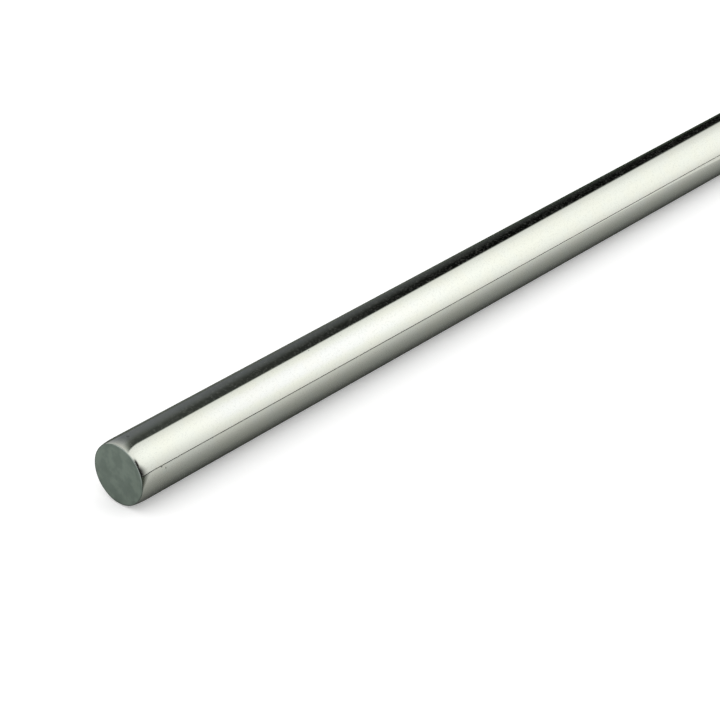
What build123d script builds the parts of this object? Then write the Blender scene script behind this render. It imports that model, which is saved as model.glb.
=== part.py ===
from build123d import *
import os

# A bright steel rod: round bar with its wall ground to a near mirror, cut to a stock length.
# Each end is faced flat and has a small bevel, and the ground wall rolls off softly into it.
# The rod lies along X on the floor, and the origin is on the floor under its middle.
# All sizes are in millimetres.

rod_diameter = 20.0
rod_length = 333.0
bevel_length = 0.7      # measured along the rod
bevel_depth = 0.3       # measured towards the axis
shoulder_length = 3.8   # the soft roll-off, from the straight wall to the bevel
shoulder_drop = 0.15    # how far the roll-off has left the wall where the bevel starts

wall_radius = rod_diameter / 2
bevel_radius = wall_radius - shoulder_drop
face_radius = bevel_radius - bevel_depth
face_x = rod_length / 2
bevel_x = face_x - bevel_length
wall_x = bevel_x - shoulder_length


def half_section():
    """Return the lengthwise section on one side of the axis, which lies on the sketch's X."""
    with BuildSketch() as section:
        with BuildLine():
            Polyline((face_x, 0), (face_x, face_radius), (bevel_x, bevel_radius))
            TangentArc((wall_x, wall_radius), (bevel_x, bevel_radius), tangent=(1, 0))
            mirror(about=Plane.YZ)
            Line((-wall_x, wall_radius), (wall_x, wall_radius))
            Line((-face_x, 0), (face_x, 0))
        make_face()
    return section.sketch


def steel_rod():
    """Return the rod turned from its half section and laid on the floor."""
    return Pos(0, 0, wall_radius) * revolve(half_section(), axis=Axis.X)


os.makedirs("parts", exist_ok=True)
export_step(steel_rod(), "parts/steel_rod.step")
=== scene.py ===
import math

import bpy
from mathutils import Matrix, Vector


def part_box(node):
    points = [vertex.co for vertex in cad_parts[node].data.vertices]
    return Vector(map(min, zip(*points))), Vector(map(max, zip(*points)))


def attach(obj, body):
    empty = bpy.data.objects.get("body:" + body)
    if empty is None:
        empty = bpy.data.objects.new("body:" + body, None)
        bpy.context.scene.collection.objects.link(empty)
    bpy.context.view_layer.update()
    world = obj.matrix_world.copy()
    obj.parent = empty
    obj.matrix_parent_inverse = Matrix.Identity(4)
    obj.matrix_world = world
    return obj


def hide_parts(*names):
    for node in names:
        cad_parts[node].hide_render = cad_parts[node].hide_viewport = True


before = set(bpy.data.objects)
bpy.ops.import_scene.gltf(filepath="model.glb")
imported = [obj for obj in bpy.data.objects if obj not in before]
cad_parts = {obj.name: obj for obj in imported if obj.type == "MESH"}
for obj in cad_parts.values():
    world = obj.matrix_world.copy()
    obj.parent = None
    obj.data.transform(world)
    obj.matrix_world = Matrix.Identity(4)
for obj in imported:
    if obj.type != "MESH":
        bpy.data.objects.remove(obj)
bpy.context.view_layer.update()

# Camera: a telephoto lens, in front of the rod's left end and above it, looking along the rod
# to the right. It was set from the rod's outlines and the ellipse of its end face.
camera_place = Vector((-0.5626, -0.4229, 0.3742))
camera_target = Vector((-0.0703, -0.0075, 0.0100))
camera_roll = math.radians(1.085)
lens_mm = 120.2
sensor_mm = 36.0

camera_data = bpy.data.cameras.new("camera")
camera_data.lens = lens_mm
camera_data.sensor_width = sensor_mm
camera = bpy.data.objects.new("camera", camera_data)
bpy.context.scene.collection.objects.link(camera)
aim = (camera_target - camera_place).to_track_quat("-Z", "Y").to_matrix()
camera.matrix_world = (
    Matrix.Translation(camera_place) @ (aim @ Matrix.Rotation(camera_roll, 3, "Z")).to_4x4()
)
bpy.context.scene.camera = camera

# The rod: one bar of steel, centreless ground until its wall mirrors the room, then cut off.
# Each end is faced flat, which leaves it matt, and has a fine bevel with its edge broken. The
# wall rolls off softly before the bevel, so its reflections bend just before the end.
low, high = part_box("steel_rod")
rod_length = high.x - low.x
rod_diameter = high.y - low.y
axis_height = rod_diameter / 2
bevel_length = 0.0003
bevel_depth = 0.00007
shoulder_length = 0.0043
shoulder_drop = 0.00031
shoulder_bend = 0.0016      # from the bevel to where the slopes of the roll-off's ends meet
edge_break = 0.00012
faced_share = 0.25          # of the broken edge, which is as matt as the face
wall_sides = 256
curve_steps = 10
sharp_angle = math.radians(9.0)
weld_distance = 1e-7


def add_node(tree, kind, settings=None, **links):
    """Add a node, set its properties, and feed inputs by name, or as in0, in1 and so on."""
    node = tree.nodes.new(kind)
    for name, value in (settings or {}).items():
        setattr(node, name, value)
    for name, value in links.items():
        socket = node.inputs[int(name[2:])] if name.startswith("in") else node.inputs[name]
        if isinstance(value, bpy.types.NodeSocket):
            tree.links.new(value, socket)
        else:
            socket.default_value = value
    return node


def number(tree, operation, first, second=0.0):
    """Return the result socket of one Math node."""
    return add_node(
        tree, "ShaderNodeMath", {"operation": operation}, in0=first, in1=second
    ).outputs[0]


def smooth_ramp(tree, value, low, high, start=0.0, end=1.0):
    """Return a smooth step of a value, from start at low to end at high."""
    return add_node(
        tree, "ShaderNodeMapRange", {"interpolation_type": "SMOOTHSTEP"},
        in0=value, in1=low, in2=high, in3=start, in4=end,
    ).outputs[0]


def is_colour(value):
    """Tell whether a value is a colour, or a socket that gives one."""
    return isinstance(value, tuple) or getattr(value, "type", "") == "RGBA"


def blend(tree, share, first, second):
    """Return the mix of two values or two colours, the second one where the share is 1."""
    if is_colour(first) or is_colour(second):
        mixed = add_node(
            tree, "ShaderNodeMix", {"data_type": "RGBA"}, in0=share, in6=first, in7=second
        )
        return mixed.outputs[2]
    return add_node(tree, "ShaderNodeMix", in0=share, in2=first, in3=second).outputs[0]


def split(tree, vector):
    """Return the outputs X, Y and Z of a vector."""
    return add_node(tree, "ShaderNodeSeparateXYZ", in0=vector).outputs


def hypotenuse(tree, first, second):
    """Return the distance that two distances at right angles add up to."""
    squares = [number(tree, "MULTIPLY", side, side) for side in (first, second)]
    return number(tree, "SQRT", number(tree, "ADD", *squares))


def station(tree, x, radius):
    """Return a point of the section, its distance along the axis and from the axis."""
    return add_node(tree, "ShaderNodeCombineXYZ", X=x, Y=radius).outputs[0]


def turned_rod_tree(wall, bevel, end_face):
    """Build the tree that turns the rod from its half section, ring by ring along the axis."""
    tree = bpy.data.node_groups.new("turned_rod", "GeometryNodeTree")
    for name in ("Length", "Diameter", "Bevel Length", "Bevel Depth",
                 "Shoulder Length", "Shoulder Drop", "Shoulder Bend", "Edge Break", "Axis Height"):
        tree.interface.new_socket(name, in_out="INPUT", socket_type="NodeSocketFloat")
    for name in ("Sides", "Steps"):
        tree.interface.new_socket(name, in_out="INPUT", socket_type="NodeSocketInt")
    tree.interface.new_socket("Rod", in_out="OUTPUT", socket_type="NodeSocketGeometry")
    size = tree.nodes.new("NodeGroupInput").outputs

    face_x = number(tree, "MULTIPLY", size["Length"], 0.5)
    bevel_x = number(tree, "SUBTRACT", face_x, size["Bevel Length"])
    wall_x = number(tree, "SUBTRACT", bevel_x, size["Shoulder Length"])
    wall_radius = number(tree, "MULTIPLY", size["Diameter"], 0.5)
    bevel_radius = number(tree, "SUBTRACT", wall_radius, size["Shoulder Drop"])
    face_radius = number(tree, "SUBTRACT", bevel_radius, size["Bevel Depth"])

    corner = station(tree, face_x, face_radius)
    bevel_top = station(tree, bevel_x, bevel_radius)
    inner_edge = station(tree, face_x, number(tree, "SUBTRACT", face_radius, size["Edge Break"]))
    along_bevel = number(tree, "DIVIDE", size["Edge Break"], size["Bevel Length"])
    outer_edge = add_node(
        tree, "ShaderNodeMix", {"data_type": "VECTOR"}, in0=along_bevel, in4=corner, in5=bevel_top
    ).outputs[1]
    bend_x = number(tree, "SUBTRACT", bevel_x, size["Shoulder Bend"])
    shoulder_mid = station(tree, bend_x, wall_radius)
    wall_end = station(tree, wall_x, wall_radius)
    other_end = station(tree, number(tree, "MULTIPLY", wall_x, -1.0), wall_radius)

    broken_edge = add_node(
        tree, "GeometryNodeCurveQuadraticBezier",
        Resolution=size["Steps"], Start=inner_edge, Middle=corner, End=outer_edge,
    )
    bevel_line = add_node(tree, "GeometryNodeCurvePrimitiveLine", Start=outer_edge, End=bevel_top)
    shoulder = add_node(
        tree, "GeometryNodeCurveQuadraticBezier",
        Resolution=size["Steps"], Start=bevel_top, Middle=shoulder_mid, End=wall_end,
    )
    one_end = add_node(tree, "GeometryNodeJoinGeometry")
    for part in (broken_edge, bevel_line, shoulder):
        tree.links.new(part.outputs[0], one_end.inputs[0])
    mirrored = add_node(
        tree, "GeometryNodeTransform", Geometry=one_end.outputs[0], Scale=(-1.0, 1.0, 1.0)
    )
    wall_line = add_node(tree, "GeometryNodeCurvePrimitiveLine", Start=wall_end, End=other_end)
    section = add_node(tree, "GeometryNodeJoinGeometry")
    for part in (one_end, mirrored, wall_line):
        tree.links.new(part.outputs[0], section.inputs[0])

    edges = add_node(tree, "GeometryNodeCurveToMesh", in0=section.outputs[0])
    joined = add_node(
        tree, "GeometryNodeMergeByDistance", Geometry=edges.outputs[0], Distance=weld_distance
    )
    outline = add_node(tree, "GeometryNodeMeshToCurve", in0=joined.outputs[0])
    place = split(tree, tree.nodes.new("GeometryNodeInputPosition").outputs[0])
    rings = add_node(
        tree, "GeometryNodeSetCurveRadius", in0=outline.outputs[0], Radius=place["Y"]
    )
    on_axis = add_node(tree, "ShaderNodeCombineXYZ", X=place["X"], Z=size["Axis Height"])
    axis = add_node(
        tree, "GeometryNodeSetPosition", Geometry=rings.outputs[0], Position=on_axis.outputs[0]
    )
    circle = add_node(tree, "GeometryNodeCurvePrimitiveCircle", Resolution=size["Sides"])
    circle.inputs["Radius"].default_value = 1.0
    skin = add_node(tree, "GeometryNodeCurveToMesh", in0=axis.outputs[0])
    tree.links.new(circle.outputs[0], skin.inputs["Profile Curve"])
    tree.links.new(tree.nodes.new("GeometryNodeInputRadius").outputs[0], skin.inputs["Scale"])
    skin.inputs["Fill Caps"].default_value = True

    turn = add_node(tree, "GeometryNodeInputMeshEdgeAngle")
    sharp = add_node(
        tree, "FunctionNodeCompare", {"data_type": "FLOAT", "operation": "GREATER_THAN"},
        in0=turn.outputs[0], in1=sharp_angle,
    )
    shaded = add_node(
        tree, "GeometryNodeStoreNamedAttribute", {"data_type": "BOOLEAN", "domain": "EDGE"},
        Geometry=skin.outputs[0], Name="sharp_edge", Value=sharp.outputs[0],
    )
    solid = add_node(tree, "GeometryNodeRealizeInstances", Geometry=shaded.outputs[0])
    from_middle = number(tree, "ABSOLUTE", place["X"])
    matt_edge = number(tree, "MULTIPLY", size["Edge Break"], faced_share)
    edge_x = number(tree, "SUBTRACT", face_x, matt_edge)
    for limit, material in ((0.0, wall), (bevel_x, bevel), (edge_x, end_face)):
        just_before = number(tree, "SUBTRACT", limit, weld_distance)
        beyond = number(tree, "GREATER_THAN", from_middle, just_before)
        solid = add_node(
            tree, "GeometryNodeSetMaterial",
            Geometry=solid.outputs[0], Selection=beyond, Material=material,
        )
    result = tree.nodes.new("NodeGroupOutput")
    tree.links.new(solid.outputs[0], result.inputs["Rod"])
    return tree


def start_group(name, inputs, outputs):
    """Start a node group with float sockets, and return it with its inside sockets."""
    group = bpy.data.node_groups.new(name, "ShaderNodeTree")
    for in_out, labels in (("INPUT", inputs), ("OUTPUT", outputs)):
        for label in labels:
            group.interface.new_socket(label, in_out=in_out, socket_type="NodeSocketFloat")
    asked = group.nodes.new("NodeGroupInput").outputs
    given = group.nodes.new("NodeGroupOutput").inputs
    return group, asked, given


def bar_place_group():
    """Give a point's distance from the left end, its angle round the axis and its radius."""
    group, _, given = start_group("bar_place", (), ("Along", "Angle", "Radius"))
    spot = split(group, group.nodes.new("ShaderNodeTexCoord").outputs["Object"])
    height = number(group, "SUBTRACT", spot["Z"], axis_height)
    group.links.new(number(group, "ADD", spot["X"], rod_length / 2), given["Along"])
    group.links.new(number(group, "ARCTAN2", height, spot["Y"]), given["Angle"])
    group.links.new(hypotenuse(group, spot["Y"], height), given["Radius"])
    return group


def tool_marks_group():
    """Give the height of fine marks that run round the bar, a wheel's or a lathe tool's."""
    group, asked, given = start_group(
        "tool_marks", ("Across", "Angle", "Spacing", "Sweep"), ("Height",)
    )
    turned = add_node(
        group, "ShaderNodeCombineXYZ",
        X=number(group, "DIVIDE", asked["Across"], asked["Spacing"]),
        Y=number(group, "MULTIPLY", number(group, "COSINE", asked["Angle"]), asked["Sweep"]),
        Z=number(group, "MULTIPLY", number(group, "SINE", asked["Angle"]), asked["Sweep"]),
    )
    marks = add_node(group, "ShaderNodeTexNoise", Vector=turned.outputs[0], Scale=1.0, Detail=3.0)
    group.links.new(marks.outputs[0], given["Height"])
    return group


def clouds_group():
    """Give a mask of soft clouds, with their size and how much of the surface they cover."""
    group, asked, given = start_group("clouds", ("Patch", "Low", "High"), ("Mask",))
    place = group.nodes.new("ShaderNodeTexCoord").outputs["Object"]
    cloud = add_node(
        group, "ShaderNodeTexNoise",
        Vector=place, Scale=number(group, "DIVIDE", 1.0, asked["Patch"]), Detail=3.0,
    ).outputs[0]
    group.links.new(smooth_ramp(group, cloud, asked["Low"], asked["High"]), given["Mask"])
    return group


bar_place = bar_place_group()
tool_marks = tool_marks_group()
clouds = clouds_group()

# The finishes of the steel: ground to a near mirror on the wall, fine satin on the bevel, and
# matt on the faced end. Each has clouds of colour, wider patches of haze, and fine grains.
cloud_from, cloud_to = 0.38, 0.62
haze_patch_share, haze_from, haze_to = 1.7, 0.45, 0.75
grain_size, grain_from, grain_to = 0.0007, 0.48, 0.70
mark_sweep = 3.0


def use_group(tree, group, **values):
    """Put a node group into a material and return its outputs."""
    return add_node(tree, "ShaderNodeGroup", {"node_tree": group}, **values).outputs


def steel(name, colour, clouded, patch, roughness, haze, grain, dust, across, spacing, depth):
    """Make one finish of the rod's steel and return its material and its place outputs.

    Its colour turns to another one in clouds of the patch's size, haze and grain add roughness
    in clouds and in fine grains, the grains hold a share of matt dust, and tool marks of a
    spacing and depth run round the bar.
    """
    material = bpy.data.materials.new(name)
    material.use_nodes = True
    tree = material.node_tree
    shader = tree.nodes["Principled BSDF"]
    place = use_group(tree, bar_place)
    cloud = use_group(tree, clouds, Patch=patch, Low=cloud_from, High=cloud_to)["Mask"]
    hazy = use_group(
        tree, clouds, Patch=haze_patch_share * patch, Low=haze_from, High=haze_to
    )["Mask"]
    grains = use_group(tree, clouds, Patch=grain_size, Low=grain_from, High=grain_to)["Mask"]
    mixed = blend(tree, cloud, (*colour, 1.0), (*clouded, 1.0))
    tree.links.new(mixed, shader.inputs["Base Color"])
    bare = number(tree, "SUBTRACT", 1.0, number(tree, "MULTIPLY", grains, dust))
    tree.links.new(bare, shader.inputs["Metallic"])
    rough = number(tree, "ADD", number(tree, "MULTIPLY", hazy, haze), roughness)
    rough = number(tree, "ADD", number(tree, "MULTIPLY", grains, grain), rough)
    tree.links.new(rough, shader.inputs["Roughness"])
    marks = use_group(
        tree, tool_marks,
        Across=place[across], Angle=place["Angle"], Spacing=spacing, Sweep=mark_sweep,
    )
    bump = add_node(tree, "ShaderNodeBump", Height=marks["Height"], Distance=depth)
    tree.links.new(bump.outputs[0], shader.inputs["Normal"])
    return material, place


wall_steel, wall_place = steel(
    "ground_wall", colour=(0.508, 0.518, 0.459), clouded=(0.503, 0.518, 0.468), patch=0.007,
    roughness=0.03, haze=0.03, grain=0.08, dust=0.06,
    across="Along", spacing=0.0005, depth=2.5e-6,
)
bevel_steel, _ = steel(
    "turned_bevel", colour=(0.45, 0.48, 0.43), clouded=(0.40, 0.43, 0.39), patch=0.003,
    roughness=0.13, haze=0.05, grain=0.05, dust=0.03,
    across="Along", spacing=0.00012, depth=1.5e-6,
)
face_steel, face_place = steel(
    "faced_end", colour=(0.113, 0.142, 0.119), clouded=(0.142, 0.176, 0.147), patch=0.0035,
    roughness=0.42, haze=0.10, grain=0.10, dust=0.25,
    across="Radius", spacing=0.00025, depth=4e-6,
)

# Marks of handling on the wall: dark specks and smears, and scuffs that only dull it. Each is
# its distance from the left end in mm, its angle round the axis in degrees from the back over
# the top, and half its length and half its width in mm.
dark_specks = (
    (7.9, 161.6, 0.35, 0.7), (9.3, 167.9, 0.3, 0.55), (5.2, 83.6, 0.6, 0.45),
    (56.0, 92.2, 1.8, 0.5), (91.2, 111.8, 0.2, 0.1), (77.3, 108.3, 0.25, 0.15),
    (39.3, 99.6, 0.3, 0.3), (88.9, 89.0, 0.9, 0.35),
)
dull_scuffs = (
    (26.3, 89.7, 0.5, 0.5), (34.8, 74.7, 0.45, 0.5), (9.0, 172.0, 2.5, 1.2), (43.0, 86.0, 2.2, 0.3),
)
rag_patch, rag_from, rag_to = 0.0006, 0.3, 0.7
rag_depth = 0.8
spot_full_at, spot_gone_at = 0.6, 1.4


def spots_mask(tree, place, spots):
    """Return a mask of ragged spots, each given by its place and half sizes on the wall."""
    rag = use_group(tree, clouds, Patch=rag_patch, Low=rag_from, High=rag_to)["Mask"]
    rag = number(tree, "MULTIPLY", rag, rag_depth)
    mask = 0.0
    for along_mm, angle_deg, half_length_mm, half_width_mm in spots:
        off_along = number(tree, "SUBTRACT", place["Along"], along_mm / 1000)
        off_angle = number(tree, "SUBTRACT", place["Angle"], math.radians(angle_deg))
        lengths_off = number(tree, "DIVIDE", off_along, half_length_mm / 1000)
        widths_off = number(tree, "MULTIPLY", off_angle, axis_height / (half_width_mm / 1000))
        apart = number(tree, "ADD", hypotenuse(tree, lengths_off, widths_off), rag)
        spot = smooth_ramp(tree, apart, spot_full_at, spot_gone_at, 1.0, 0.0)
        mask = number(tree, "MAXIMUM", spot, mask)
    return mask


def lay_over(tree, mask, colour, roughness):
    """Lay another colour and roughness over a finish where a mask is 1."""
    shader = tree.nodes["Principled BSDF"]
    for name, value in (("Base Color", (*colour, 1.0)), ("Roughness", roughness)):
        under = shader.inputs[name].links[0].from_socket
        tree.links.new(blend(tree, mask, under, value), shader.inputs[name])


wall_tree = wall_steel.node_tree
scuffed = spots_mask(wall_tree, wall_place, dull_scuffs)
lay_over(wall_tree, scuffed, colour=(0.49, 0.51, 0.46), roughness=0.20)
specked = spots_mask(wall_tree, wall_place, dark_specks)
lay_over(wall_tree, specked, colour=(0.16, 0.17, 0.15), roughness=0.30)

# The face's rim: painted shade makes it darker on the side towards the back and the floor, where it
# mirrors the floor's shade, and a painted highlight makes it lighter on the opposite side, towards
# the light.
face_radius = axis_height - shoulder_drop - bevel_depth
rim_shade_towards = math.radians(-50.0)
rim_shade_width, rim_shade_from, rim_shade_to = 0.0004, -0.6, 0.0
rim_highlight_width, rim_highlight_from, rim_highlight_to = 0.00032, -0.55, -0.85
face_tree = face_steel.node_tree
off_rim_shade = number(face_tree, "SUBTRACT", face_place["Angle"], rim_shade_towards)
towards_rim_shade = number(face_tree, "COSINE", off_rim_shade)


def rim_mask(width, side):
    """Return a mask of a ring at the face's edge, on one side of the face."""
    ring = smooth_ramp(
        face_tree, face_place["Radius"], face_radius - width, face_radius - edge_break
    )
    return number(face_tree, "MULTIPLY", ring, side)


# Painted shade: the rim is darker on the side towards the back and the floor, where it mirrors the
# floor's shade.
painted_rim_shade = rim_mask(rim_shade_width, smooth_ramp(face_tree, towards_rim_shade, rim_shade_from, rim_shade_to))
lay_over(face_tree, painted_rim_shade, colour=(0.085, 0.105, 0.09), roughness=0.45)
# Painted highlight: the rim is lighter on the side opposite the shade, towards the light.
painted_rim_highlight = rim_mask(
    rim_highlight_width, smooth_ramp(face_tree, towards_rim_shade, rim_highlight_to, rim_highlight_from, 1.0, 0.0)
)
lay_over(face_tree, painted_rim_highlight, colour=(0.26, 0.30, 0.28), roughness=0.38)

# The finished rod: turned from the sizes and the steels above, and made a plain mesh. It lies
# on the floor in the solid's place.
rod_tree = turned_rod_tree(wall_steel, bevel_steel, face_steel)
turning = bpy.data.objects.new("turning", bpy.data.meshes.new("turning"))
bpy.context.scene.collection.objects.link(turning)
lathe = turning.modifiers.new("turned_rod", "NODES")
lathe.node_group = rod_tree
rod_sizes = {
    "Length": rod_length, "Diameter": rod_diameter, "Axis Height": axis_height,
    "Bevel Length": bevel_length, "Bevel Depth": bevel_depth, "Edge Break": edge_break,
    "Shoulder Length": shoulder_length, "Shoulder Drop": shoulder_drop,
    "Shoulder Bend": shoulder_bend, "Sides": wall_sides, "Steps": curve_steps,
}
for item in rod_tree.interface.items_tree:
    if item.in_out == "INPUT":
        lathe[item.identifier] = rod_sizes[item.name]
bpy.context.view_layer.update()
turned_rod = turning.evaluated_get(bpy.context.evaluated_depsgraph_get())
rod_mesh = bpy.data.meshes.new_from_object(turned_rod)
rod_mesh.name = "bright_rod"
rod = bpy.data.objects.new("bright_rod", rod_mesh)
bpy.context.scene.collection.objects.link(rod)
bpy.data.objects.remove(turning)
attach(rod, "root")
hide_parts("steel_rod")

# The floor: a wide matt white sheet, far larger than the view. The camera and the rod's
# reflections see it a little lighter than it is lit, so it is white but keeps the rod's shadow.
floor_half = 8.0
floor_colour = (0.96, 0.96, 0.96, 1.0)
floor_lift = 0.25


def set_shader(tree, values):
    """Set values on the shader of a material's nodes, and return the shader's inputs."""
    inputs = tree.nodes["Principled BSDF"].inputs
    for name, value in values.items():
        inputs[name].default_value = value
    return inputs


floor_mesh = bpy.data.meshes.new("floor")
floor_mesh.from_pydata(
    [(-floor_half, -floor_half, 0), (floor_half, -floor_half, 0),
     (floor_half, floor_half, 0), (-floor_half, floor_half, 0)], [], [(0, 1, 2, 3)]
)
floor = bpy.data.objects.new("floor", floor_mesh)
bpy.context.scene.collection.objects.link(floor)
floor_material = bpy.data.materials.new("floor_sheet")
floor_material.use_nodes = True
floor_nodes = floor_material.node_tree
floor_shader = set_shader(floor_nodes, {
    "Base Color": floor_colour, "Roughness": 1.0, "Specular IOR Level": 0.0,
    "Emission Strength": floor_lift,
})
ray = floor_nodes.nodes.new("ShaderNodeLightPath").outputs
not_lighting = number(
    floor_nodes, "MAXIMUM", ray["Is Camera Ray"],
    number(floor_nodes, "MAXIMUM", ray["Is Glossy Ray"], ray["Is Transmission Ray"]),
)
floor_nodes.links.new(not_lighting, floor_shader["Emission Color"])
floor_mesh.materials.append(floor_material)

# The studio: a white tent that lights the floor evenly from all sides. Only the rod's
# reflections show what is in it, which is set by its direction: X to the right end, Y to the
# back and Z up.
world = bpy.data.worlds.new("studio")
bpy.context.scene.world = world
world.use_nodes = True
tent = world.node_tree
direction = tent.nodes.new("ShaderNodeTexCoord").outputs["Generated"]
towards = split(tent, direction)
mirrored = tent.nodes.new("ShaderNodeLightPath").outputs["Is Glossy Ray"]


def pointing(azimuth, elevation):
    """Return the unit vector for an azimuth from +X towards +Y and an elevation."""
    return Vector((
        math.cos(azimuth) * math.cos(elevation),
        math.sin(azimuth) * math.cos(elevation),
        math.sin(elevation),
    ))


def along(axis):
    """Return how far the tent's direction points along an axis."""
    return add_node(
        tent, "ShaderNodeVectorMath", {"operation": "DOT_PRODUCT"}, in0=direction, in1=axis
    ).outputs["Value"]


def band(value, rise_from, rise_to, fall_from, fall_to):
    """Return 1 within a band of one of the tent's values, with soft edges, and 0 outside it."""
    rising = smooth_ramp(tent, value, rise_from, rise_to)
    falling = smooth_ramp(tent, value, fall_from, fall_to, 1.0, 0.0)
    return number(tent, "MULTIPLY", rising, falling)


# The light: large and soft, high on the right. Its core is a little dimmer on the right and
# whiter in the middle, and left of it the tent is a little dimmer too.
tent_strength = 0.87
key_strength = 1.10
key_azimuth = math.radians(-33.0)
key_elevation = math.radians(39.5)
key_focus = 3.5
core_from, core_to = 0.90, 0.99
core_middle = (0.600, 0.622, 0.655, 0.720)
core_white = (1.00, 0.99, 1.06, 1.0)
right_level, right_from, right_to = 0.93, 0.665, 0.750
left_level, left_from, left_to = 0.93, 0.57, 0.68

towards_key = number(tent, "MAXIMUM", along(pointing(key_azimuth, key_elevation)))
glow = number(tent, "MULTIPLY", number(tent, "POWER", towards_key, key_focus), key_strength)
seen = number(tent, "ADD", glow, tent_strength)
left_dim = smooth_ramp(tent, towards["X"], left_from, left_to, left_level, 1.0)
seen = number(tent, "MULTIPLY", seen, left_dim)
core = smooth_ramp(tent, towards_key, core_from, core_to)
right_core = number(tent, "MULTIPLY", core, smooth_ramp(tent, towards["X"], right_from, right_to))
seen = number(tent, "MULTIPLY", seen, blend(tent, right_core, 1.0, right_level))
whiter = number(tent, "MULTIPLY", core, band(towards["X"], *core_middle))

# The flag: black, hung beyond the rod. Its right edge is crisp, which gives the rod's wall a
# clean dark band beside a bright one, and its left side glows faintly and fades out.
flag_left_level, flag_left_x = 0.088, 0.56
flag_right_level, flag_right_x = 0.005, 0.72
flag_edge_normal = Vector((-0.539, 0.817, 0.206))
flag_edge_blur = 0.028
flag_fade_slant, flag_fade_bend = -0.3, 0.5
flag_fade_from, flag_fade_to = 0.475, 0.18
flag_glow = 0.118
flag_glow_from, flag_glow_to = math.radians(37.0), math.radians(52.0)
flag_tint = (0.92, 1.00, 0.94, 1.0)
glow_tint = (0.95, 1.01, 1.09, 1.0)

past_edge = smooth_ramp(tent, along(flag_edge_normal), -flag_edge_blur, flag_edge_blur)
slant = number(
    tent, "MULTIPLY", number(tent, "MINIMUM", towards["Y"], flag_fade_bend), flag_fade_slant
)
before_fade = smooth_ramp(
    tent, number(tent, "ADD", towards["X"], slant), flag_fade_to, flag_fade_from
)
flagged = number(tent, "MULTIPLY", past_edge, before_fade)
azimuth = number(tent, "ARCTAN2", towards["Y"], towards["X"])
glowing = smooth_ramp(tent, azimuth, flag_glow_from, flag_glow_to)
flag_base = smooth_ramp(
    tent, towards["X"], flag_left_x, flag_right_x, flag_left_level, flag_right_level
)
flag_light = number(tent, "ADD", flag_base, number(tent, "MULTIPLY", glowing, flag_glow))
seen = blend(tent, flagged, seen, flag_light)
flag_colour = blend(tent, glowing, flag_tint, glow_tint)

# The opening: on the near side the tent is open, where it is dark. A dark rib of it stands
# right of the opening and higher, and shows in the crescent beside the rod's left face.
opening_strength = 0.02
opening_azimuth = math.radians(-112.0)
opening_elevation = math.radians(8.5)
opening_outer, opening_inner = 0.585, 0.78
opening_left_to, opening_left_from = -0.60, -0.42
rib_across = (0.12, 0.20, 0.29, 0.38)
rib_up = (0.30, 0.50, 0.72, 0.90)
rib_near_from, rib_near_to = -0.50, -0.35

towards_opening = along(pointing(opening_azimuth, opening_elevation))
opened = number(
    tent, "MULTIPLY", smooth_ramp(tent, towards_opening, opening_outer, opening_inner),
    smooth_ramp(tent, towards["X"], opening_left_to, opening_left_from),
)
rib = number(tent, "MULTIPLY", band(towards["X"], *rib_across), band(towards["Z"], *rib_up))
rib = number(
    tent, "MULTIPLY", rib, smooth_ramp(tent, towards["Y"], rib_near_from, rib_near_to, 1.0, 0.0)
)
opened = number(tent, "MAXIMUM", opened, rib)
seen = blend(tent, opened, seen, opening_strength)

# The tent's own level and colour: as worked out above where the rod mirrors it, and plain white
# at an even level everywhere else.
plain_white = (1.0, 1.0, 1.0, 1.0)
plain_level = 1.0
background = tent.nodes["Background"]
unflagged = number(tent, "SUBTRACT", 1.0, number(tent, "MULTIPLY", flagged, mirrored))
light_colour = blend(tent, number(tent, "MULTIPLY", whiter, mirrored), plain_white, core_white)
tent.links.new(blend(tent, unflagged, flag_colour, light_colour), background.inputs["Color"])
tent.links.new(blend(tent, mirrored, plain_level, seen), background.inputs["Strength"])

# Painted shade on the floor: a dark film that only the rod's reflections show. On the near side it
# deepens the shade round the rod, and from a little way beyond the rod it stands for the shade at
# the foot of the flag, a little weaker on the left. It is cleared past the rod's two ends.
film_left, film_front = -0.60, -floor_half
film_lift = 0.00002
shade_film_colour = (0.014, 0.028, 0.010, 1.0)
near_level, near_reach = 0.21, 0.0262
contact_shade, contact_from, contact_to = 0.08, 0.0065, 0.015
beyond_from, beyond_to = 0.014, 0.027
beyond_left, beyond_right = 0.90, 0.975
beyond_left_at, beyond_right_at = -0.12, 0.09
right_slant, right_fade = 1.67, 0.02
left_fade = 0.002
left_shade, left_reach = 0.90, 0.016


def card(name, corners):
    """Add a flat card that only the rod's reflections show, and return its material's nodes."""
    mesh = bpy.data.meshes.new(name)
    mesh.from_pydata(corners, [], [(0, 1, 2, 3)])
    sheet = bpy.data.objects.new(name, mesh)
    bpy.context.scene.collection.objects.link(sheet)
    for rays in ("camera", "diffuse", "transmission", "volume_scatter", "shadow"):
        setattr(sheet, "visible_" + rays, False)
    material = bpy.data.materials.new(name)
    material.use_nodes = True
    mesh.materials.append(material)
    return material.node_tree


film = card("floor_shade", [
    (film_left, film_front, film_lift), (floor_half, film_front, film_lift),
    (floor_half, floor_half, film_lift), (film_left, floor_half, film_lift),
])
spot = split(film, film.nodes.new("ShaderNodeTexCoord").outputs["Object"])
from_axis = number(film, "ABSOLUTE", spot["Y"])
fall = number(film, "EXPONENT", number(film, "DIVIDE", from_axis, -near_reach))
near_shade = number(
    film, "ADD", blend(film, fall, near_level, 1.0),
    smooth_ramp(film, from_axis, contact_from, contact_to, contact_shade, 0.0),
)
rightwards = number(film, "SUBTRACT", spot["X"], spot["Y"])
beyond_shade = smooth_ramp(
    film, rightwards, beyond_left_at, beyond_right_at, beyond_left, beyond_right
)
beyond_rod = smooth_ramp(film, spot["Y"], beyond_from, beyond_to)
shade = blend(film, beyond_rod, near_shade, beyond_shade)

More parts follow.
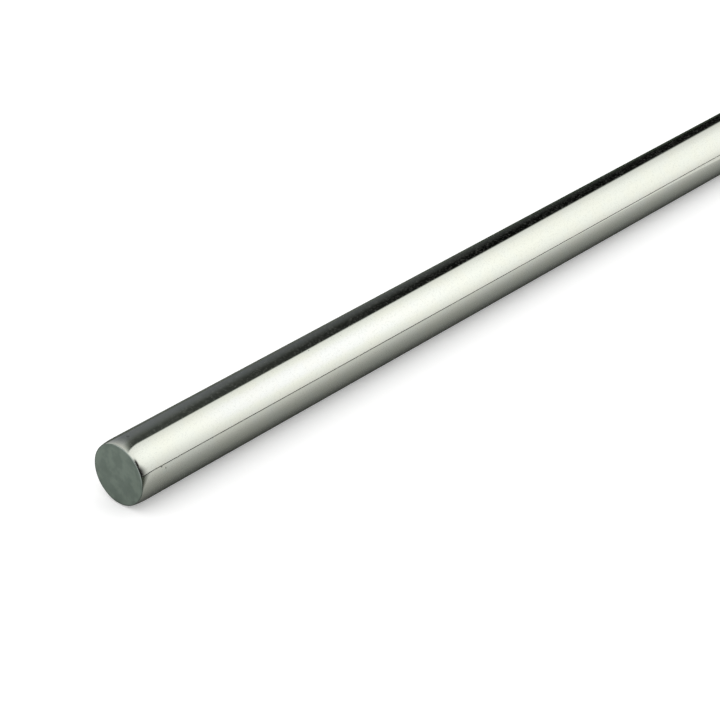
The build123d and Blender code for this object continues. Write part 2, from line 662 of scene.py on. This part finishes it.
past_right = number(
    film, "SUBTRACT", number(film, "SUBTRACT", spot["X"], rod_length / 2),
    number(film, "MULTIPLY", number(film, "MAXIMUM", spot["Y"], 0.0), right_slant),
)
left_end = -rod_length / 2
for clearing in (
    smooth_ramp(film, past_right, 0.0, right_fade, 1.0, 0.0),
    smooth_ramp(film, spot["X"], left_end - left_fade, left_end),
    smooth_ramp(film, spot["X"], left_end, left_end + left_reach, left_shade, 1.0),
):
    shade = number(film, "MULTIPLY", shade, clearing)

# The foot of the opening: a dark wedge of the same film on the near side. It lies between two
# lines that run out from the rod's left end, and stops just before the rod's axis.
foot_shade = 0.95
foot_line = math.radians(-60.0)
foot_start = 0.0101
foot_from, foot_to = -0.20, 0.17
foot_nearest = 0.010
foot_back, foot_fade = -0.002, 0.004
foot_left_to, foot_left_from = -1.2, -0.6

past_left_end = number(film, "SUBTRACT", spot["X"], left_end)
from_line = number(
    film, "ADD", number(film, "MULTIPLY", past_left_end, math.sin(foot_line)),
    number(film, "MULTIPLY", number(film, "ADD", spot["Y"], foot_start), -math.cos(foot_line)),
)
before_rod = number(film, "MAXIMUM", number(film, "MULTIPLY", spot["Y"], -1.0), foot_nearest)
slope = number(film, "DIVIDE", from_line, before_rod)
foot = number(
    film, "MULTIPLY", smooth_ramp(film, slope, foot_from, foot_to, 0.0, foot_shade),
    smooth_ramp(film, spot["Y"], foot_back - foot_fade, foot_back, 1.0, 0.0),
)
left_slope = number(film, "DIVIDE", past_left_end, before_rod)
foot = number(film, "MULTIPLY", foot, smooth_ramp(film, left_slope, foot_left_to, foot_left_from))
shade = number(film, "MAXIMUM", shade, foot)
film_shader = set_shader(film, {
    "Base Color": shade_film_colour, "Roughness": 1.0, "Specular IOR Level": 0.0,
})
film.links.new(shade, film_shader["Alpha"])

# The glowing card: it glows white, flat on the floor before the rod's left face, a painted
# reflection so that the face mirrors an even white. Only reflections show it.
card_glow = 0.90
glow_card_far, glow_card_front, glow_card_back = 0.15, -0.003, 0.10
glow_card = card("reflected_white_card", [
    (left_end - glow_card_far, glow_card_front, film_lift), (left_end, glow_card_front, film_lift),
    (left_end, glow_card_back, film_lift), (left_end - glow_card_far, glow_card_back, film_lift),
])
set_shader(glow_card, {
    "Base Color": (0.0, 0.0, 0.0, 1.0), "Specular IOR Level": 0.0,
    "Emission Color": plain_white, "Emission Strength": card_glow,
})

# The skirting: a low black strip that stands on the floor at the foot of the light. Its
# reflection is the dark hairline along the rod's wall, and nothing else shows it.
skirting_distance = 0.240
skirting_low = -0.0005
skirting_high = 0.0105
skirting_colour = (0.04, 0.04, 0.04, 1.0)
skirting = card("skirting", [
    (film_left, -skirting_distance, skirting_low), (floor_half, -skirting_distance, skirting_low),
    (floor_half, -skirting_distance, skirting_high), (film_left, -skirting_distance, skirting_high),
])
set_shader(skirting, {"Base Color": skirting_colour, "Specular IOR Level": 0.0})

# The picture's colours are shown as they are.
view = bpy.context.scene.view_settings
view.view_transform = "Standard"
